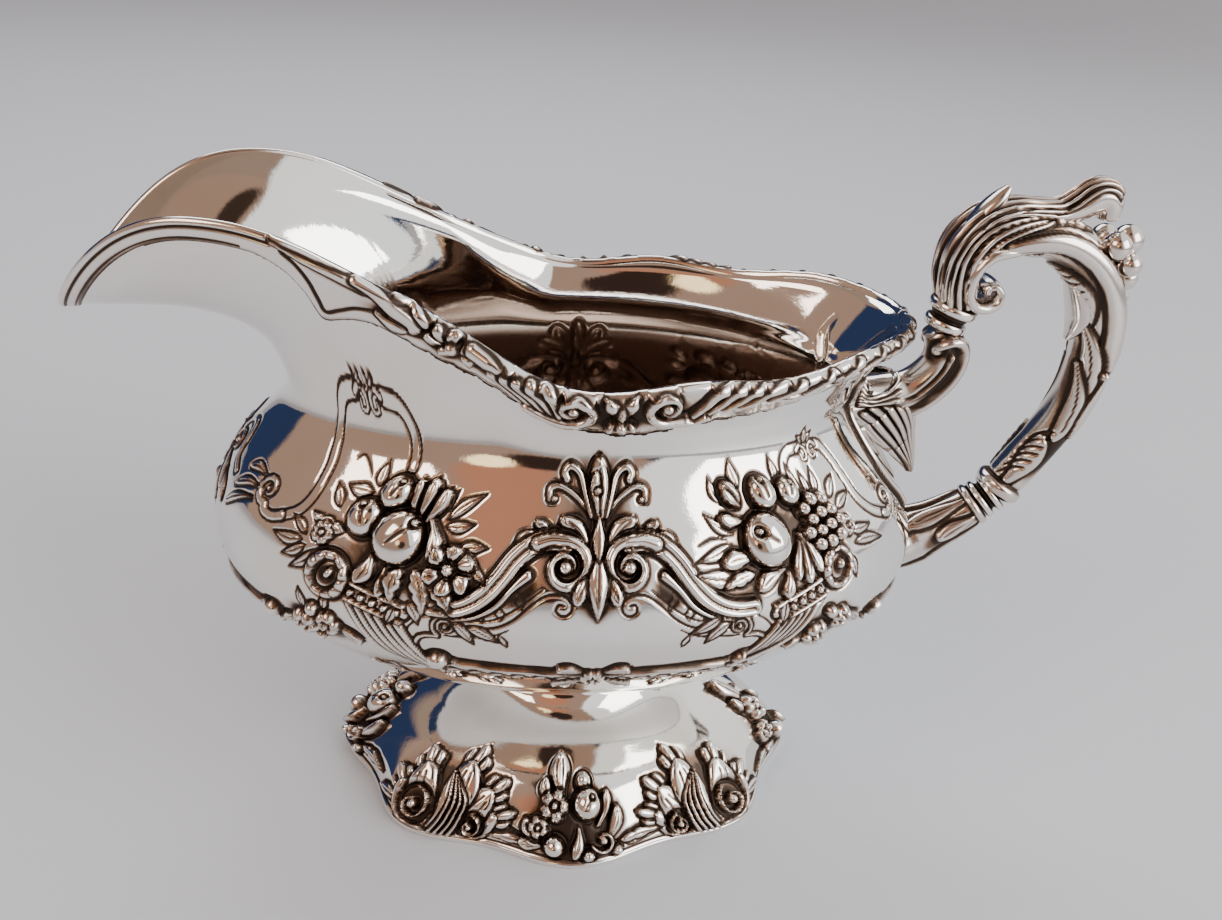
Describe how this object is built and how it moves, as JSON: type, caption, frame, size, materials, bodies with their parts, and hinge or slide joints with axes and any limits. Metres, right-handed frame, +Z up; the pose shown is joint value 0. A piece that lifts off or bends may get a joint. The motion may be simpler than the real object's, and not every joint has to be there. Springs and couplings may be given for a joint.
{
  "type": "sauce boat",
  "caption": "Oval silver sauce boat with a long flared pouring lip, a cast rim border, a lobed pedestal foot and a cast scroll handle.",
  "frame": {"origin": "centre of the foot on the surface that the boat stands on", "axes": "+X towards the handle, -X towards the lip, +Y to the left of someone looking from the lip towards the handle, +Z up"},
  "size_m": [0.209, 0.0946, 0.1405],
  "materials": {
    "silver_sheet": "mirror-polished silver with dark oxidised recesses in the chasing",
    "silver_cast": "bright cast silver with dark oxidised recesses between the ornaments",
    "silver_wire": "plain polished silver"
  },
  "bodies": {
    "root": {"bowl": "silver_sheet", "rim_border_near": "silver_cast", "rim_border_far": "silver_cast", "foot_collar": "silver_wire", "foot": "silver_sheet", "foot_rim_wire": "silver_wire", "handle_fan_leaf": "silver_cast", "handle_upper_stem": "silver_cast", "handle_upper_collar": "silver_wire", "handle_loop": "silver_cast", "handle_volute": "silver_cast", "handle_acanthus_cap": "silver_cast", "handle_back_leaf": "silver_cast", "handle_inner_leaf": "silver_cast", "handle_fruit_drop": "silver_cast", "handle_lower_collar": "silver_wire", "handle_lower_stem": "silver_cast"}
  },
  "joints": []
}
